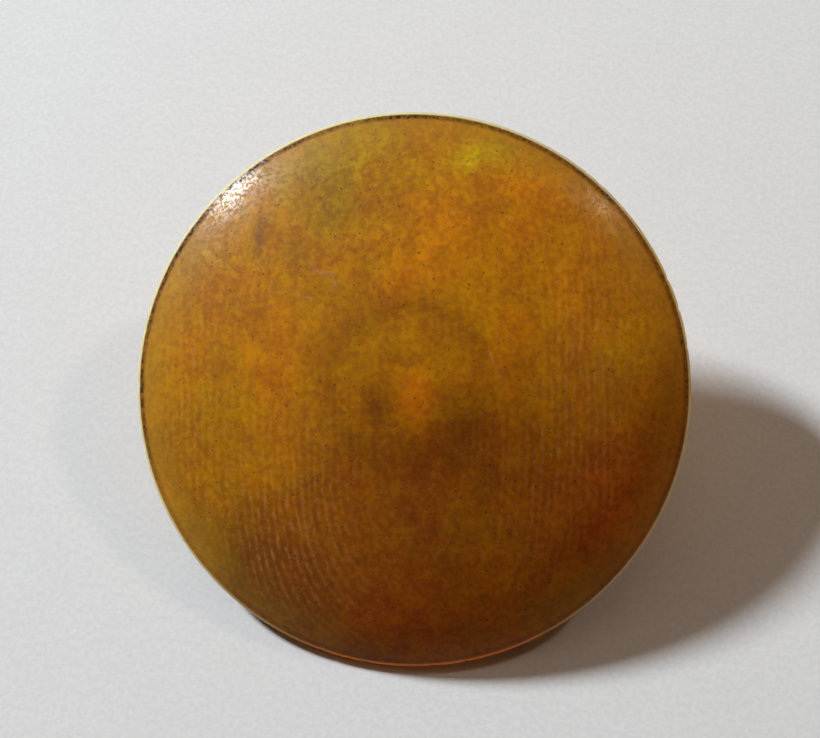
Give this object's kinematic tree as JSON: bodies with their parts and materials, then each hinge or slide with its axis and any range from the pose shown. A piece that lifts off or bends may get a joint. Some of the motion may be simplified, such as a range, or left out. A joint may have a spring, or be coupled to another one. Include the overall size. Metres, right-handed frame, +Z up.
{
  "type": "shank button",
  "caption": "Domed translucent horn coat button, with a boss on its flat back and a wire loop shank set in cement, lying face up.",
  "frame": {"origin": "centre of the footprint, on the table that the button lies on", "axes": "+Z up from the table; +X along the plane of the shank's loop; -Y towards the low side of the rim, so the disc's axis leans back from +Z towards -Y"},
  "size_m": [0.0286, 0.0268, 0.0105],
  "materials": {
    "horn": "satin",
    "brass_wire": "satin",
    "cement": "matte"
  },
  "bodies": {
    "root": {"horn_disc": "horn", "wire_shank": "brass_wire", "left_cement_plug": "cement", "right_cement_plug": "cement"}
  },
  "joints": []
}
